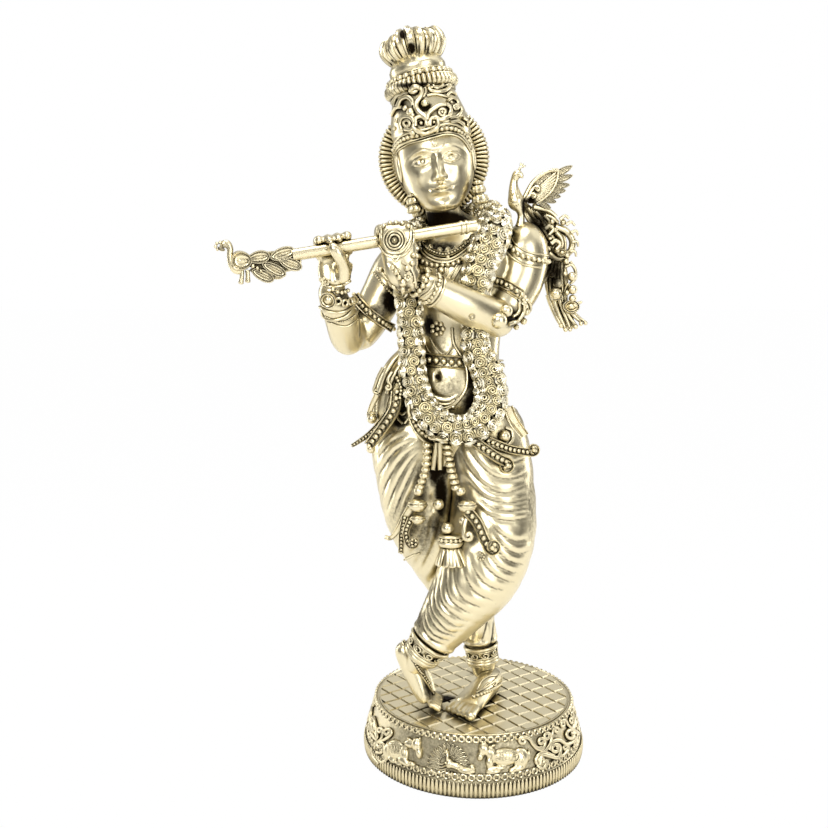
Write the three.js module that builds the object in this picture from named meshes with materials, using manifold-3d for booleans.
// A cast brass figure of a flute player with crossed legs and a peacock on one shoulder, on its round plinth.
// Millimetres, +Z up. The origin is the middle of the plinth's underside, and the figure looks along -Y.
import * as THREE from "three";
import Module from "manifold-3d";
import { mergeVertices } from "three/addons/utils/BufferGeometryUtils.js";

const { BufferGeometry, CatmullRomCurve3, Vector2, Vector3 } = THREE;
const wasm = await Module();
wasm.setup();

// Plinth
const plinthHeight = 48;
const rimRadius = 86.5; // of the floor's edge, which carries the upper bead row
const rimDepth = 5.5; // height of the upper bead row
const friezeFoot = 91.5; // radius at the foot of the sloping side
const beadStep = 94; // radius of the ledge that carries the lower bead row
const beadStepHeight = 19.5;
const ribRadius = 97;
const ribHeight = 14;
const ribCount = 30;
const ribDepth = 1.4;
const friezeRelief = 4;

// Figure
const figureHeight = 562;
const gap = 0.3; // clearance between pieces that touch

// Flute
const fluteRadius = 4.7;
const fluteLength = 147;
const fluteCollar = 0.9; // height of the rings near the mouth end
const fluteSides = 10;
const finialThickness = 4.4; // of the flat peacock on its far end

// The free form keeps its proportions: its places and sizes are in millimetres of a figure drawn 562 high.
const drawnHeight = 562;
const share = figureHeight / drawnHeight;
const spot = (x, y, z) => new Vector3(x, y, z).multiplyScalar(share);

// Solids

/** A closed skin over rings of equally many points, with a fan over each end ring. */
function skin(rings) {
  const count = rings[0].length;
  const middle = (ring) => ring.reduce((sum, p) => sum.add(p), new Vector3()).divideScalar(count);
  const points = [...rings.flat(), middle(rings[0]), middle(rings.at(-1))];
  const lastRing = (rings.length - 1) * count;
  const faces = [];
  for (let i = 0; i < count; i += 1) {
    const next = (i + 1) % count;
    for (let row = 0; row < lastRing; row += count) {
      faces.push(row + i, row + next, row + count + next, row + i, row + count + next, row + count + i);
    }
    faces.push(points.length - 2, next, i, points.length - 1, lastRing + i, lastRing + next);
  }
  return new BufferGeometry().setFromPoints(points).setIndex(faces);
}

/** A closed geometry as a solid that booleans can use, with its faces pointing out. */
function solid(geometry) {
  const bare = geometry.clone();
  for (const name of ["normal", "uv"]) bare.deleteAttribute(name);
  const merged = mergeVertices(bare, 1e-4);
  const triVerts = new Uint32Array(merged.index.array);
  const vertProperties = new Float32Array(merged.attributes.position.array);
  const made = new wasm.Manifold(new wasm.Mesh({ numProp: 3, vertProperties, triVerts }));
  if (made.volume() > 0) return made;
  for (let i = 0; i < triVerts.length; i += 3) {
    [triVerts[i], triVerts[i + 1]] = [triVerts[i + 1], triVerts[i]];
  }
  return new wasm.Manifold(new wasm.Mesh({ numProp: 3, vertProperties, triVerts }));
}

/** A plate with an outline of its own: back(point) and front(point) give each corner's two places. */
function plate(outline, back, front) {
  const corners = outline.map(([x, y]) => new Vector2(x, y));
  if (THREE.ShapeUtils.isClockWise(corners)) corners.reverse();
  const count = corners.length;
  const faces = THREE.ShapeUtils.triangulateShape(corners, [])
    .flatMap(([a, b, c]) => [a, b, c, count + a, count + c, count + b]);
  for (let i = 0; i < count; i += 1) {
    const next = (i + 1) % count;
    faces.push(next, i, count + i, next, count + i, count + next);
  }
  const points = [...corners.map(front), ...corners.map(back)];
  return solid(new BufferGeometry().setFromPoints(points).setIndex(faces));
}

const fuse = (solids) => solids.reduce((whole, piece) => whole.add(piece));

/** A solid's triangles as a flat-shaded geometry for a mesh. */
function faceted(body) {
  const { vertProperties, triVerts } = body.getMesh();
  const geometry = new BufferGeometry();
  geometry.setAttribute("position", new THREE.BufferAttribute(new Float32Array(vertProperties), 3));
  geometry.setIndex(new THREE.BufferAttribute(new Uint32Array(triVerts), 1));
  const flat = geometry.toNonIndexed();
  flat.computeVertexNormals();
  return flat;
}

/** Smooth stations along a limb: t in 0..1 gives its centre, its two directions across and its half sizes. */
function course(stations, front = new Vector3(0, -1, 0)) {
  const curve = (points) => new CatmullRomCurve3(points, false, "catmullrom", 0.5);
  const line = curve(stations.map((s) => s.at));
  const sizes = curve(stations.map((s) => new Vector3(s.wide, s.deep ?? s.wide, 0).multiplyScalar(share)));
  return (t) => {
    const held = Math.min(1, Math.max(0, t));
    const along = line.getTangent(held);
    const side = new Vector3().crossVectors(front, along).normalize();
    const ahead = new Vector3().crossVectors(along, side).normalize();
    const size = sizes.getPoint(held);
    return { centre: line.getPoint(held), side, ahead, wide: size.x, deep: size.y };
  };
}

/** The point of a course's section at angle a, 0 at its side and a quarter turn ahead, moved out by some. */
const around = ({ centre, side, ahead, wide, deep }, a, grow = 1, out = 0) => centre.clone()
  .addScaledVector(side, (wide * grow + out) * Math.cos(a))
  .addScaledVector(ahead, (deep * grow + out) * Math.sin(a));

/** Rows along a limb: evenly spaced ones, and four more for each cuff that stands out round it. */
function rows(rings, cuffs) {
  const even = Array.from({ length: rings }, (_, r) => ({ t: r / (rings - 1), out: 0 }));
  const clear = even.filter(({ t }) => cuffs.every((cuff) => Math.abs(t - cuff.t) > cuff.half * 1.3));
  const edges = cuffs.flatMap(({ t, half, out }) => [
    { t: t - half * 1.15, out: 0 }, { t: t - half * 0.85, out: out * share },
    { t: t + half * 0.85, out: out * share }, { t: t + half * 1.15, out: 0 },
  ]);
  return [...clear, ...edges].sort((a, b) => a.t - b.t);
}

/** Angles round a section that crowd together at its front by the focus, from 0 for even ones. */
const fanned = (sides, focus) => Array.from({ length: sides }, (_, i) => {
  const even = 2 * Math.PI * (i / sides - 0.5);
  return Math.PI / 2 + even - focus * Math.sin(even);
});

/** A limb: a skin round a course, with its section changed by bulge(t, angle) where one is given. */
function limb(stations, { sides = 9, rings = 6, focus = 0, front, bulge = () => 1, cuffs = [] } = {}) {
  const along = course(stations, front);
  return solid(skin(rows(rings, cuffs).map(({ t, out }) =>
    fanned(sides, focus).map((a) => around(along(t), a, bulge(t, a), out)))));
}

/** A bar through points, tapering from one half thickness to the other. */
function bar(points, from, to = from, { sides = 5, rings = points.length, front } = {}) {
  const last = points.length - 1;
  const stations = points.map((at, i) => ({ at, wide: from + ((to - from) * i) / last }));
  return limb(stations, { sides, rings, front });
}

/** A string of beads or discs through points: rows by turns thick and thin. */
function beadString(points, count, thick, { sides = 5, thin = 0.5, flat = 1 } = {}) {
  const stations = points.map(([x, y, z, size = 1]) => (
    { at: spot(x, y, z), wide: thick * size, deep: thick * flat * size }));
  const along = course(stations);
  const last = count * 2;
  return solid(skin(Array.from({ length: last + 1 }, (_, r) => Array.from({ length: sides }, (_, i) =>
    around(along(r / last), (2 * Math.PI * (i + 0.5)) / sides, r % 2 ? 1 : thin)))));
}

/** A sash strip through points: flat, and rolled up into a curl where curl gives the roll's half size. */
function sash(points, wide, curl = 0) {
  const placed = points.map(([x, y, z]) => spot(x, y, z));
  const stations = placed.map((at) => ({ at, wide, deep: 2.4 }));
  if (curl) {
    const end = placed.at(-1);
    const onward = end.clone().sub(placed.at(-2)).normalize();
    const step = (distance) => end.clone().addScaledVector(onward, distance * share);
    stations.push({ at: step(curl * 0.6), wide: wide * 0.6, deep: 2.4 });
    stations.push({ at: step(curl * 1.3), wide: curl, deep: curl * 0.8 });
    stations.push({ at: step(curl * 2), wide: curl * 0.5, deep: curl * 0.4 });
  }
  return limb(stations, { sides: 4, rings: stations.length + 1 });
}

/** A ball, or an egg with its own half sizes. */
function egg(centre, wide, deep = wide, tall = wide, [across, down] = [6, 3]) {
  return solid(new THREE.SphereGeometry(share, across, down)
    .rotateX(Math.PI / 2)
    .scale(wide, deep, tall)
    .translate(centre.x, centre.y, centre.z));
}

const smooth = (low, high, x) => THREE.MathUtils.smoothstep(x, low, high);
const bump = (x, middle, width) => Math.exp(-(((x - middle) / width) ** 2));
const mix = (from, to, part) => from + (to - from) * part;

// Plinth

/** The drum: a ribbed foot, a ledge for beads, a sloping frieze and a rim round the floor. */
function plinthDrum() {
  const ring = (radius, z, depth) => Array.from({ length: ribCount * 2 }, (_, i) => {
    const a = (Math.PI * i) / ribCount;
    const r = radius - (i % 2 ? depth : 0);
    return new Vector3(r * Math.cos(a), r * Math.sin(a), z);
  });
  const foot = skin([ring(ribRadius - 3, 0, ribDepth), ring(ribRadius, ribHeight * 0.4, ribDepth),
    ring(ribRadius - 1.6, ribHeight, ribDepth)]);
  const upper = new THREE.LatheGeometry([
    new Vector2(0, ribHeight - 1),
    new Vector2(beadStep, ribHeight - 1),
    new Vector2(beadStep, beadStepHeight),
    new Vector2(friezeFoot, beadStepHeight),
    new Vector2(rimRadius - 1.5, plinthHeight - rimDepth),
    new Vector2(rimRadius, plinthHeight - rimDepth),
    new Vector2(rimRadius, plinthHeight),
    new Vector2(0, plinthHeight),
  ], ribCount).rotateX(Math.PI / 2);
  return fuse([solid(foot), solid(upper)]);
}

/** The place on the sloping side: right of the front's middle, up from the frieze's foot, and out. */
function onFrieze(right, up, out) {
  const rise = plinthHeight - rimDepth - beadStepHeight;
  const radius = friezeFoot - ((friezeFoot - rimRadius + 1.5) * up) / rise + out;
  const turn = right / friezeFoot;
  return new Vector3(radius * Math.sin(turn), -radius * Math.cos(turn), beadStepHeight + up);
}

/** A relief on the frieze from its outline of (right, up) points; its smaller front gives it sloped sides. */
function relief(outline, middle, lift, mirrored = false) {
  const placed = outline.map(([right, up]) => [middle + (mirrored ? -right : right), up]);
  const [x0, y0] = [0, 1].map((k) => placed.reduce((sum, corner) => sum + corner[k], 0) / placed.length);
  const taper = 0.72;
  return plate(placed, ({ x, y }) => onFrieze(x, y, -2),
    ({ x, y }) => onFrieze(mix(x0, x, taper), mix(y0, y, taper), lift));
}

// a lying cow that faces right, its head held up
const cowOutline = [
  [-14, 2], [-15, 8], [-11, 13], [-3, 14.5], [5, 14], [8, 19], [12, 21.5], [13.5, 18.5], [18, 15], [17, 12.5],
  [12.5, 12], [11, 7], [15, 2], [4, 1],
];

// a standing bird seen from ahead: legs, breast, neck and head
const birdOutline = [[-2.5, 1], [2.5, 1], [3.5, 8], [1.4, 13], [2, 19], [-2.5, 18], [-1.4, 13], [-3.5, 8]];

/** The outline of the bird's spread tail: rounded feather ends about a point low in the middle. */
const fanOutline = Array.from({ length: 15 }, (_, i) => {
  const a = Math.PI * (1.12 - (1.24 * i) / 14);
  const reach = i % 2 ? 11.5 : 14.5;
  return [reach * Math.cos(a), 6.5 + reach * Math.sin(a)];
});

/** A curl of the arabesque: three quarters of a ring that thins towards its end. */
function curlOutline(size) {
  const steps = 3;
  const arc = (radius) => Array.from({ length: steps + 1 }, (_, k) => {
    const a = (1.5 * Math.PI * k) / steps;
    return [radius(k / steps) * Math.cos(a), radius(k / steps) * Math.sin(a)];
  });
  return [...arc(() => size), ...arc((t) => size * mix(0.35, 0.75, t)).toReversed()];
}

/** The relief of the front: the dancing bird between two cows, then three curls on each side. */
function frieze() {
  const curls = [[0, 15, 5.5], [9, 8, 6], [20, 14.5, 6]];
  return [
    relief(fanOutline, -4, friezeRelief - 1),
    relief(birdOutline, -4, friezeRelief + 1),
    relief(cowOutline, -37, friezeRelief),
    relief(cowOutline, 29, friezeRelief, true),
    ...[-1, 1].flatMap((side) => curls.map(([right, up, size]) => relief(
      curlOutline(size).map(([x, y]) => [x, up + y]), side * (57 + right), friezeRelief - 1, side < 0))),
  ];
}

const plinth = () => fuse([plinthDrum(), ...frieze()]);

// Flute

const fluteMouthEnd = spot(-3, -41, 401);
const fluteAim = new Vector3(-139, -32, -24.5).normalize();
const fluteFront = new Vector3().crossVectors(fluteAim, new Vector3(0, 0, 1)).normalize().negate();
const fluteUp = new Vector3().crossVectors(fluteFront, fluteAim).normalize().negate();

/** A place round the flute: its distance from the mouth end, degrees round (90 on top) and distance out. */
function atFlute(distance, degrees, out) {
  const a = THREE.MathUtils.degToRad(degrees);
  return fluteMouthEnd.clone()
    .addScaledVector(fluteAim, distance)
    .addScaledVector(fluteFront, out * Math.cos(a))
    .addScaledVector(fluteUp, out * Math.sin(a));
}

/** A turned bar on the flute's axis from (distance, radius) pairs. */
function onFluteAxis(profile) {
  return skin(profile.map(([distance, radius]) => Array.from({ length: fluteSides }, (_, i) =>
    atFlute(distance, (360 * i) / fluteSides, radius))));
}

/** A flat piece of the finial: an outline along the flute and up from it, and its part of the thickness. */
function finialPlate(outline, part) {
  const level = (face) => ({ x, y }) => atFlute(fluteLength + x * share, 90, y * share)
    .addScaledVector(fluteFront, (face * part * finialThickness) / 2);
  return plate(outline, level(-1), level(1));
}

/** A leaf from its base to its tip, each given along the flute's line and up from it. */
function leaf(base, tip, half) {
  const run = new Vector2(tip[0] - base[0], tip[1] - base[1]);
  const across = new Vector2(-run.y, run.x).normalize().multiplyScalar(half);
  return [[0, 0], [0.25, 0.8], [0.6, 1], [1, 0], [0.6, -1], [0.25, -0.8]].map(([along, side]) => [
    base[0] + run.x * along + across.x * side,
    base[1] + run.y * along + across.y * side,
  ]);
}

/** The flute: a tube with two rings by its mouth end, and a flat peacock on its far end. */
function flute() {
  const tube = onFluteAxis([
    [0, fluteRadius], [7, fluteRadius], [7.5, fluteRadius + fluteCollar], [9, fluteRadius + fluteCollar],
    [9.5, fluteRadius], [11, fluteRadius], [11.5, fluteRadius + fluteCollar], [13, fluteRadius + fluteCollar],
    [13.5, fluteRadius], [fluteLength, fluteRadius],
  ]);
  const body = Array.from({ length: 10 }, (_, i) => {
    const a = (2 * Math.PI * i) / 10;
    return [45 + 9.5 * Math.cos(a), 4 + 7.5 * Math.sin(a)];
  });
  const neck = [
    [46, -2], [54, 0], [57, 8], [54, 17], [57, 19], [57, 13], [61, 14], [60, 23], [53, 24], [49, 18], [51, 9],
  ];
  const leg = [[39.5, -2], [47, -2], [48, -14], [38.5, -13.5]];
  const feathers = [
    leaf([21, 4.5], [2, 3], 4.6), leaf([15, -1], [-4.5, -5.5], 3.8), leaf([39, 8], [19, 4], 4.8),
    leaf([30, -1], [10.5, -12.5], 4.2), leaf([38, -2], [21, -15.5], 4.4), leaf([40, 2], [24, -2], 3.6),
  ];
  return fuse([
    solid(tube),
    finialPlate(body, 1.1),
    finialPlate(neck, 0.85),
    finialPlate(leg, 0.7),
    ...feathers.map((outline) => finialPlate(outline, 0.8)),
  ]);
}

// Figure: legs, skirt cloth and feet

const standingLeg = [
  { at: spot(-30, 3, 250), wide: 32, deep: 28 },
  { at: spot(-45, 2, 226), wide: 41, deep: 34 },
  { at: spot(-47, 0, 190), wide: 36, deep: 32 },
  { at: spot(-43, -2, 155), wide: 31, deep: 28 },
  { at: spot(-27, 0, 120), wide: 26, deep: 24 },
  { at: spot(-8, 5, 84), wide: 21, deep: 20 },
  { at: spot(4, 6, 55), wide: 15.5, deep: 16 },
  { at: spot(7, 6, 40), wide: 13.5, deep: 13.5 },
  { at: spot(9, 6, 24), wide: 12, deep: 12 },
  { at: spot(11, 4, 10), wide: 9, deep: 9 },
];

const crossedLeg = [
  { at: spot(0, 1, 252), wide: 32, deep: 28 },
  { at: spot(8, -4, 222), wide: 36, deep: 32 },
  { at: spot(14, -12, 186), wide: 35, deep: 33 },
  { at: spot(13, -24, 150), wide: 36, deep: 33 },
  { at: spot(2, -34, 118), wide: 34, deep: 30 },
  { at: spot(-17, -39, 90), wide: 26, deep: 24 },
  { at: spot(-34, -39, 66), wide: 19, deep: 18 },
  { at: spot(-43, -38, 53), wide: 15, deep: 15 },
  { at: spot(-50, -36, 42), wide: 11.5, deep: 11.5 },
  { at: spot(-55, -34, 34), wide: 9, deep: 9 },
];

/**
 * The standing leg: pleats run down it from the waist's middle, twisting out to the hip's side, and a
 * broad cuff clasps the ankle.
 */
function drapedStandingLeg() {
  const along = course(standingLeg);
  const pleats = 6;
  const hem = 0.74;
  const cuff = { t: 0.81, half: 0.035, out: 1.8 };
  return solid(skin(rows(8, [cuff]).map(({ t, out }) => Array.from({ length: pleats * 2 }, (_, i) => {
    const a = (Math.PI * i) / pleats + 1.5 * smooth(0, 0.5, t);
    const depth = 0.11 * smooth(0.02, 0.12, t) * (1 - smooth(hem - 0.15, hem, t));
    return around(along(t), a, 1 + (i % 2 ? depth : -depth), out);
  }))));
}

/**
 * The crossed leg: folds sweep round it, each ring by turns a ridge and a hollow. Over the thigh they fall
 * from the middle to the outer side, and over the shin they sag. A cuff clasps its ankle too.
 */
function drapedCrossedLeg() {
  const along = course(crossedLeg);
  const folds = 8;
  const hem = 0.69;
  const sag = (t, a) => mix(-0.07 * (1 - Math.cos(a)), 0.045 * Math.sin(a), smooth(0.2, 0.5, t));
  const cloth = Array.from({ length: folds * 2 + 1 }, (_, r) => {
    const t = (hem * r) / (folds * 2);
    const fade = smooth(0, 0.08, t) * (1 - smooth(hem - 0.06, hem, t));
    return { t, fade, depth: 0.07 * fade * (r % 2 ? 1 : -1), out: 0 };
  });
  const ankle = [[0.72, 0], [0.73, 2], [0.785, 2], [0.795, 0], [1, 0]]
    .map(([t, out]) => ({ t, fade: 0, depth: 0, out: out * share }));
  return solid(skin([...cloth, ...ankle].map(({ t, fade, depth, out }) =>
    fanned(9, 0.3).map((a) => around(along(t + sag(t, a) * fade), a, 1 + depth, out)))));
}

/** A foot through stations from its heel, and five toes between its little toe's and its big toe's place. */
function foot(stations, front, { roots, tips }) {
  const toes = [0, 0.27, 0.5, 0.73, 1].map((step) => {
    const thick = step === 1 ? 4.2 : 2.6;
    const place = ([little, big]) => little.clone().lerp(big, step);
    return bar([place(roots), place(tips)], thick, thick * 0.75, { sides: 4, front });
  });
  return [limb(stations, { sides: 6, rings: 5, front }), ...toes];
}

function feet() {
  const flat = foot([
    { at: spot(21, 11, 8), wide: 6, deep: 6 },
    { at: spot(17, 4, 10), wide: 9.5, deep: 11 },
    { at: spot(8, -14, 9), wide: 10.5, deep: 11 },
    { at: spot(-3, -31, 6), wide: 13, deep: 7.5 },
    { at: spot(-9, -41, 3.5), wide: 13, deep: 4 },
  ], new Vector3(0, 0, 1), {
    roots: [spot(-17, -33, 4), spot(0, -44, 4.5)],
    tips: [spot(-23, -43, 2.5), spot(-6, -59, 3)],
  });
  const raised = foot([
    { at: spot(-64, -33, 57), wide: 5, deep: 4 },
    { at: spot(-60, -33, 49), wide: 8.5, deep: 8 },
    { at: spot(-52, -34, 32), wide: 9.5, deep: 9 },
    { at: spot(-45, -34, 15), wide: 12, deep: 7.5 },
    { at: spot(-41, -34, 7), wide: 12, deep: 5 },
  ], new Vector3(1, 0, 0.5), {
    roots: [spot(-40, -45, 8), spot(-40, -24, 8)],
    tips: [spot(-31, -44, 3), spot(-29, -24, 3)],
  });
  return [...flat, ...raised];
}

/** The two legs, with cloth between the thighs. */
function legs() {
  const between = bar([spot(-20, 4, 215), spot(-17, -6, 138)], 22, 14, { sides: 6 });
  return [drapedStandingLeg(), drapedCrossedLeg(), between];
}

// Figure: trunk, arms and hands

const trunkCourse = [
  { at: spot(-20, 2, 205), wide: 42, deep: 24 },
  { at: spot(-21, 1, 232), wide: 49, deep: 33 },
  { at: spot(-19, 0, 256), wide: 43, deep: 32 },
  { at: spot(-16, -1, 280), wide: 37, deep: 29 },
  { at: spot(-14, 0, 304), wide: 34, deep: 25 },
  { at: spot(-13, 1, 330), wide: 37, deep: 26 },
  { at: spot(-13, 1, 356), wide: 45, deep: 28 },
  { at: spot(-14, 2, 378), wide: 49, deep: 26 },
  { at: spot(-18, 3, 394), wide: 36, deep: 20 },
  { at: spot(-23, 2, 404), wide: 20, deep: 16 },
  { at: spot(-27, 0, 413), wide: 14.5, deep: 14.5 },
  { at: spot(-30, -2, 426), wide: 15, deep: 15 },
];

/** The trunk and neck: a round belly, a hollow under the chest and a band round the waist. */
function trunk() {
  const bulge = (t, a) => {
    const ahead = Math.max(0, Math.sin(a)) ** 2;
    return 1 + ahead * (0.14 * bump(t, 0.26, 0.07) - 0.05 * bump(t, 0.42, 0.06) + 0.06 * bump(t, 0.58, 0.07));
  };
  const band = { t: 0.345, half: 0.015, out: 2 };
  return limb(trunkCourse, { sides: 10, rings: 10, focus: 0.35, bulge, cuffs: [band] });
}

const armCourses = {
  rightUpper: [
    { at: spot(-60, 4, 385), wide: 13 },
    { at: spot(-72, 3, 376), wide: 19 },
    { at: spot(-82, -2, 350), wide: 17.5 },
    { at: spot(-94, -8, 325), wide: 15.5 },
    { at: spot(-103, -13, 308), wide: 14 },
    { at: spot(-105, -18, 301), wide: 9 },
  ],
  rightFore: [
    { at: spot(-104, -12, 304), wide: 12 },
    { at: spot(-108, -22, 310), wide: 14.5 },
    { at: spot(-112, -38, 326), wide: 13.5 },
    { at: spot(-116, -52, 344), wide: 11.5 },
    { at: spot(-117, -60, 358), wide: 9.5 },
  ],
  leftUpper: [
    { at: spot(24, 4, 392), wide: 13 },
    { at: spot(38, 3, 384), wide: 21 },
    { at: spot(38, -1, 362), wide: 20 },
    { at: spot(33, -8, 342), wide: 17.5 },
    { at: spot(25, -16, 325), wide: 16 },
    { at: spot(20, -22, 315), wide: 11 },
  ],
  leftFore: [
    { at: spot(29, -16, 319), wide: 12 },
    { at: spot(18, -26, 323), wide: 15.5 },
    { at: spot(-8, -42, 336), wide: 15 },
    { at: spot(-32, -53, 348), wide: 12.5 },
    { at: spot(-51, -60, 358), wide: 10 },
  ],
};

const armCuffs = {
  rightUpper: [{ t: 0.6, half: 0.045, out: 2 }],
  rightFore: [{ t: 0.74, half: 0.1, out: 1.8 }],
  leftUpper: [{ t: 0.34, half: 0.03, out: 2 }, { t: 0.66, half: 0.045, out: 1.8 }],
  leftFore: [{ t: 0.87, half: 0.09, out: 2 }],
};

function arms() {
  const front = new Vector3(0.2, -1, 0.1);
  return [
    ...Object.entries(armCourses).map(([name, stations]) =>
      limb(stations, { sides: 6, rings: 5, front, cuffs: armCuffs[name] })),
  ];
}

/** A hand on the flute: a palm through its stations, four fingers swept round the flute and a thumb. */
function hand({ palm, palmFront, middle, pitch, sweep, thumb }) {
  const thick = 3.3;
  const bow = 0.8; // a straight length between two places round the flute comes this much nearer to it
  const out = fluteRadius + gap + (thick + bow) * share;
  const fingers = [-1.5, -0.5, 0.5, 1.5].map((k) => {
    const points = sweep.map((degrees) => atFlute((middle + k * pitch) * share, degrees, out));
    return bar(points, thick, thick * 0.9, { sides: 4, front: fluteAim });
  });
  const knuckles = [-1.5, 1.5].map((k) => atFlute((middle + k * pitch) * share, sweep[0], out + share));
  return [
    limb(palm, { sides: 7, rings: palm.length, front: palmFront }),
    bar(knuckles, 4, 4, { sides: 4, front: fluteAim.clone().cross(fluteUp) }),
    ...fingers,
    bar(thumb, 3.6, 3, { sides: 4, front: fluteAim }),
  ];
}

function hands() {
  const nearFlute = (distance, degrees, out) =>
    atFlute(distance * share, degrees, fluteRadius + gap + out * share);
  const right = hand({
    palm: [
      { at: spot(-117, -59, 354), wide: 9.5, deep: 8 },
      { at: spot(-114, -58, 363), wide: 14, deep: 6.5 },
      { at: nearFlute(111, 218, 6.5), wide: 16, deep: 6 },
    ],
    palmFront: fluteFront,
    middle: 114,
    pitch: 7,
    sweep: [225, 175, 125, 70],
    thumb: [spot(-108, -63, 359), nearFlute(106, 300, 5), nearFlute(108, 0, 4.5), nearFlute(110, 35, 4)],
  });
  const left = hand({
    palm: [
      { at: spot(-50, -60, 357), wide: 10, deep: 8 },
      { at: spot(-60, -67, 363), wide: 13, deep: 6.5 },
      { at: nearFlute(67, 325, 7), wide: 14, deep: 5 },
      { at: nearFlute(67, 15, 5.5), wide: 13.5, deep: 4.5 },
      { at: nearFlute(67, 60, 5), wide: 13, deep: 3.5 },
    ],
    palmFront: new Vector3(0.1, -1, 0),
    middle: 67,
    pitch: 6.6,
    sweep: [45, 90, 135, 180],
    thumb: [spot(-55, -56, 362), nearFlute(57, 250, 6), nearFlute(55, 205, 4.5), nearFlute(55, 175, 4)],
  });
  return [...right, ...left];
}

// Figure: head, crown and halo

const headMiddle = spot(-34, -8, 453);
const headRoll = THREE.MathUtils.degToRad(-9.5);
const crownSeat = spot(-37.5, -8, 474.5);
const crownRoll = THREE.MathUtils.degToRad(-12.5);
const place = (geometry, roll, at) => solid(geometry.rotateY(roll).translate(at.x, at.y, at.z));
const inHead = (geometry) => place(geometry, headRoll, headMiddle);
const inCrown = (geometry) => place(geometry, crownRoll, crownSeat);

// a head's sections from its chin up: height from the eyes, half width, half depth, middle
const headSections = [
  [-40.5, 6, 5, -18], [-37, 13, 11, -15], [-31, 18.5, 16, -10.5], [-23.5, 23.5, 22, -5], [-18, 26, 25, -2],
  [-13, 27.5, 26, -1], [-6, 28.5, 27, -1], [0, 29, 27, -1], [7, 29, 28, 0], [16, 28, 27, 0], [30, 22, 19, 1],
];

/** How far the face stands out at a place across and up from between the eyes. */
function faceRelief(x, z) {
  const side = Math.abs(x);
  const bridge = smooth(-17.5, -13.5, z) * (1 - smooth(2, 10, z));
  const nose = bump(x, 0, 3.4) * (2 + 3.6 * smooth(0, -13, z)) * bridge;
  const lips = 1.8 * bump(x, 0, 8) * bump(z, -23.5, 3.5);
  const chin = 1.5 * bump(x, 0, 8) * bump(z, -36, 4);
  const brows = 1.2 * bump(side, 11, 8) * bump(z, 7, 3.5);
  const sockets = 2 * bump(side, 11, 6) * bump(z, 0, 4);
  return nose + lips + chin + brows - sockets;
}

/** The head: its columns stand closer together over the face. */
function head() {
  const columns = 14;
  return inHead(skin(headSections.map(([z, wide, deep, middle]) => Array.from({ length: columns }, (_, c) => {
    const turn = 2 * Math.PI * (c / columns - 0.5);
    const a = turn - 0.55 * Math.sin(turn);
    const x = wide * Math.sin(a);
    const y = middle - deep * Math.cos(a) - faceRelief(x, z) * Math.max(0, Math.cos(a));
    return new Vector3(x, y, z).multiplyScalar(share);
  }))));
}

// the crown's levels about its own axis: radius, height, how far each second column is drawn in
const crownLevels = [
  [28, -7, 0], [31.5, -2, 0], [31.5, 5, 0], [29, 15, 0], [26, 30, 0], [26, 36, 0.8],
  [30.3, 38.5, 2], [30.6, 43.5, 2], [23, 47.5, 0.6], [22, 59, 0.6],
  [25.5, 63, 4], [28.5, 72, 6.5], [26, 81, 6], [16, 86.5, 3],
];

/** The crown: a cone with scrolls on its front, a ribbed roll, and a tuft of petals that curl in. */
function crown() {
  const columns = 22;
  const tower = skin(crownLevels.map(([radius, z, dent]) => Array.from({ length: columns }, (_, i) => {
    const a = (2 * Math.PI * i) / columns;
    const r = radius - (i % 2 ? dent : 0);
    return spot(r * Math.cos(a), r * Math.sin(a), z);
  })));
  const scrolls = [[0, -31, 11, 7.5], [-14, -27.5, 12, 7], [14, -27.5, 12, 7]]
    .map(([x, y, z, size]) => new THREE.SphereGeometry(size * share, 6, 3)
      .rotateX(Math.PI / 2)
      .scale(1, 0.6, 1.1)
      .translate(x * share, y * share, z * share));
  return [tower, ...scrolls].map(inCrown);
}

/** The halo: a disc behind the head, its outer part ribbed like rays, with the hair as a dome before it. */
function halo() {
  const rays = 16;
  const ring = (radius, y, step, dent) => Array.from({ length: rays * 2 }, (_, i) => {
    const a = (Math.PI * i) / rays;
    const r = radius - (i % 2 ? step : 0);
    return spot(2 + r * Math.cos(a), y + (i % 2 ? dent : 0), 6 + r * Math.sin(a));
  });
  const disc = skin([ring(46.5, 15, 1.5, 0), ring(47, 11, 2, 1.5), ring(33, 10, 0, 0)]);
  const hairDome = new THREE.SphereGeometry(share, 9, 5)
    .rotateX(Math.PI / 2)
    .scale(32, 24, 35)
    .translate(0, 6 * share, 0);
  return [disc, hairDome].map(inHead);
}

/** An ear drop under each ear: a bell over a ribbed ball. */
function earDrops() {
  const profile = [[0, 0], [4, -3], [3, -6], [6, -12], [0, -20]]
    .map(([r, z]) => new Vector2(r * share, z * share));
  return [[-28, -8], [27.5, -10]].map(([x, top]) => inHead(new THREE.LatheGeometry(profile.toReversed(), 6)
    .rotateX(Math.PI / 2)
    .translate(x * share, -6 * share, top * share)));
}

/** The hair down the nape and between the shoulders, parted in four locks. */
function hair() {
  const bulge = (_, a) => 1 + 0.1 * Math.cos(4 * a);
  return limb([
    { at: spot(-34, 10, 438), wide: 20, deep: 12 },
    { at: spot(-30, 21, 414), wide: 20, deep: 10 },
    { at: spot(-25, 25, 388), wide: 20, deep: 8 },
    { at: spot(-21, 26, 362), wide: 13, deep: 5 },
  ], { sides: 8, rings: 4, bulge });
}

// Figure: garland, sashes and hangings

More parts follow.
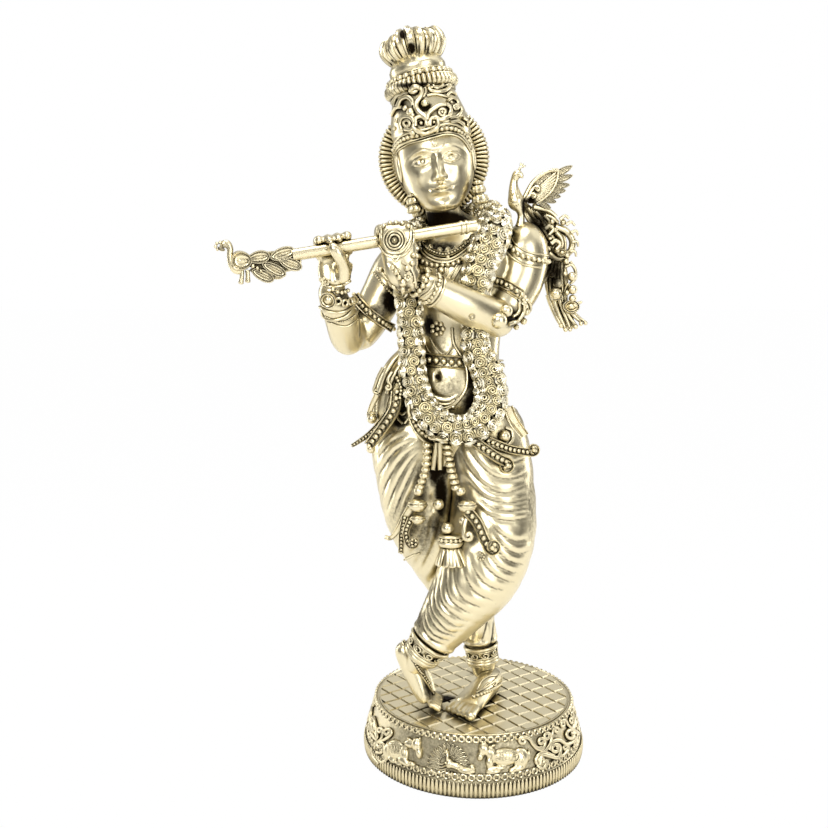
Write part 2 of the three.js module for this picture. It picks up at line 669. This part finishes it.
const garlandCourse = [
  [-30, 20, 404, 9], [-4, 16, 412, 11], [13, 0, 410, 13], [12, -20, 394, 14], [2, -29, 372, 13.5],
  [-3, -33, 350, 12], [-3, -33, 325, 10], [-1, -33, 304, 10], [11, -36, 288, 10.5], [17, -38, 268, 11],
  [10, -42, 250, 11], [-8, -45, 238, 11], [-28, -44, 241, 11], [-44, -40, 256, 10.5], [-52, -35, 277, 10],
  [-54, -31, 303, 9.5], [-55, -30, 330, 9.5], [-58, -30, 352, 9.5], [-60, -24, 374, 9], [-56, -6, 394, 9],
  [-44, 12, 403, 8.5],
];

/** The rope of roses, closed behind the neck; each second ring is thicker, as the blooms are. */
function garland() {
  const curve = (points) => new CatmullRomCurve3(points, true, "catmullrom", 0.5);
  const line = curve(garlandCourse.map(([x, y, z]) => spot(x, y, z)));
  const sizes = curve(garlandCourse.map(([, , , r]) => new Vector3(r * share, 0, 0)));
  const rings = 32;
  const sides = 5;
  const points = [];
  const faces = [];
  for (let r = 0; r < rings; r += 1) {
    const t = r / rings;
    const thick = r % 2 === 1;
    const along = line.getTangent(t);
    const side = new Vector3().crossVectors(new Vector3(0.2, -1, 0.1), along).normalize();
    const ahead = new Vector3().crossVectors(along, side);
    const size = sizes.getPoint(t).x * (thick ? 1.08 : 0.92);
    for (let i = 0; i < sides; i += 1) {
      const a = (2 * Math.PI * (i + (thick ? 0.5 : 0))) / sides;
      points.push(line.getPoint(t)
        .addScaledVector(side, size * Math.cos(a))
        .addScaledVector(ahead, size * Math.sin(a)));
      const next = (i + 1) % sides;
      const row = ((r + 1) % rings) * sides;
      const [here, beside, above, aboveBeside] = [r * sides + i, r * sides + next, row + i, row + next];
      const split = thick
        ? [here, beside, aboveBeside, here, aboveBeside, above]
        : [here, beside, above, beside, aboveBeside, above];
      faces.push(...split);
    }
  }
  return solid(new BufferGeometry().setFromPoints(points).setIndex(faces));
}

function sashes() {
  const puffedLap = limb([
    { at: spot(-48, -13, 302), wide: 7, deep: 7 },
    { at: spot(-60, -14, 287), wide: 13, deep: 11 },
    { at: spot(-68, -14, 270), wide: 15, deep: 12 },
    { at: spot(-74, -14, 252), wide: 13, deep: 12 },
    { at: spot(-77, -13, 236), wide: 8, deep: 7 },
  ], { sides: 6, rings: 5 });
  return [
    puffedLap,
    sash([[-64, -36, 276], [-67, -38, 256], [-74, -36, 240], [-84, -30, 224]], 5, 4.5),
    sash([[-72, -26, 264], [-79, -26, 248], [-90, -23, 235], [-103, -19, 225]], 4.5),
    sash([[-52, -40, 258], [-46, -46, 238], [-34, -48, 229], [-20, -47, 229]], 4),
    sash([[-6, -48, 226], [8, -48, 218], [28, -40, 200]], 5, 4),
    sash([[10, -44, 238], [22, -40, 224], [44, -29, 216]], 4.5, 3),
    sash([[26, -24, 252], [42, -20, 228]], 5),
  ];
}

/** The belt's hangings: two strings of discs that end in trailing strips, two balls and a tassel. */
function hangings() {
  const tasselRings = [[5, 150], [9, 144], [11, 140], [17, 126], [14, 123]];
  const tassel = skin(tasselRings.map(([r, z]) => Array.from({ length: 8 }, (_, i) => {
    const a = (Math.PI * i) / 4;
    const pleat = i % 2 ? 0.88 : 1;
    return spot(-23 + r * pleat * Math.cos(a), -53 + r * 0.5 * pleat * Math.sin(a), z);
  })));
  const strings = [
    [[-40, -34, 228], [-43, -34, 204], [-45, -34, 182], [-50, -33, 166, 1.4], [-48, -33, 154, 1.3]],
    [[-23, -44, 228], [-17, -46, 204], [-13, -49, 182], [-7, -52, 167, 1.4], [-8, -53, 155, 1.3]],
  ];
  return [
    ...strings.map((points) => beadString(points, 6, 5.4, { sides: 4 })),
    sash([[-53, -34, 160], [-62, -31, 144], [-75, -27, 137]], 4.5),
    sash([[-50, -34, 156], [-55, -32, 134]], 4, 3.5),
    sash([[-4, -54, 164], [14, -59, 130]], 5, 3.5),
    sash([[-30, -38, 237], [-31, -31, 204]], 5),
    egg(spot(-31, -31, 175), 6, 6, 6),
    egg(spot(-23, -50, 153), 6, 6, 6),
    solid(tassel),
  ];
}

/** The collar on the chest. */
function collar() {
  const places = [[-52, -12, 386], [-38, -25, 373], [-24, -29.5, 366], [-8, -27, 371], [3, -17, 384]];
  return bar(places.map(([x, y, z]) => spot(x, y, z)), 3.4, 3.4, { sides: 4 });
}

// Figure: the peacock on the shoulder

/** The bird: a leg and body that rise to the head, the feathers of a wing, and a train behind the arm. */
function peacock() {
  const body = limb([
    { at: spot(36, -2, 404), wide: 4, deep: 4 },
    { at: spot(36, -1, 414), wide: 5, deep: 5 },
    { at: spot(34, 1, 424), wide: 8.5, deep: 8 },
    { at: spot(31, -1, 436), wide: 7.5, deep: 6.5 },
    { at: spot(33, -2, 446), wide: 4.4, deep: 4.4 },
    { at: spot(35.5, -3, 453), wide: 4, deep: 3.6 },
    { at: spot(39.5, -4, 455), wide: 1.8, deep: 1.6 },
  ], { sides: 6, rings: 7 });
  const crest = bar([spot(35, -3, 455), spot(41, -3, 467)], 2.4, 1.4, { sides: 4 });
  const feathers = [[54, 32], [36, 49], [19, 47], [2, 40], [-16, 32]];
  const wingPlace = (degrees, reach) => {
    const a = THREE.MathUtils.degToRad(degrees);
    return [38 + reach * Math.cos(a), 426 + reach * Math.sin(a)];
  };
  const edge = feathers.flatMap(([degrees, reach]) =>
    [wingPlace(degrees, reach), wingPlace(degrees - 8, reach - 9)]);
  const wing = plate([[36, 429], ...edge.slice(0, -1), [40, 418]],
    ({ x, y }) => spot(x, 7, y), ({ x, y }) => spot(x, 2, y));
  const train = [
    [7, [40, 4, 424, 1.1], [58, 13, 414, 1.4], [76, 16, 400, 1.3], [84, 16, 376, 1.1],
      [85, 17, 350, 1.2], [92, 18, 326, 0.6]],
    [5, [44, 6, 414, 1], [60, 14, 392, 1.4], [68, 15, 368, 1.1], [74, 16, 342, 1.1], [81, 18, 322, 0.8]],
    [1, [62, 12, 390, 0.8], [50, 10, 361, 0.5]],
  ].map(([eyes, ...points]) => beadString(points, eyes, 7.5, { sides: 4, thin: 0.75, flat: 0.75 }));
  return [body, crest, wing, ...train];
}

// Assembly

/** The figure as one casting: fused, cut flat under the feet and bored round the flute. */
function figure() {
  const whole = fuse([
    ...legs(),
    ...feet(),
    trunk(),
    ...arms(),
    ...hands(),
    head(),
    ...crown(),
    ...halo(),
    ...earDrops(),
    hair(),
    garland(),
    ...sashes(),
    ...hangings(),
    collar(),
    ...peacock(),
  ]);
  const reach = figureHeight;
  const floor = solid(new THREE.BoxGeometry(reach, reach, reach).translate(0, 0, -reach / 2));
  const bore = solid(onFluteAxis([-reach, reach].map((distance) => [distance, fluteRadius + gap])));
  return whole.subtract(floor).subtract(bore);
}

const brass = (name, color, roughness) => {
  const material = new THREE.MeshStandardMaterial({ color, metalness: 1, roughness, flatShading: true });
  material.name = name;
  return material;
};

const group = new THREE.Group();
const plinthMesh = new THREE.Mesh(faceted(plinth()), brass("plinth_brass", 0xc9b57c, 0.32));
plinthMesh.name = "plinth";
const figureMesh = new THREE.Mesh(faceted(figure()), brass("figure_brass", 0xd8c68a, 0.25));
figureMesh.name = "figure";
const fluteMesh = new THREE.Mesh(faceted(flute()), brass("flute_brass", 0xd9bd72, 0.22));
fluteMesh.name = "flute";

const standing = new THREE.Group();
standing.position.z = plinthHeight + gap;
standing.add(figureMesh, fluteMesh);
group.add(plinthMesh, standing);

export default group;
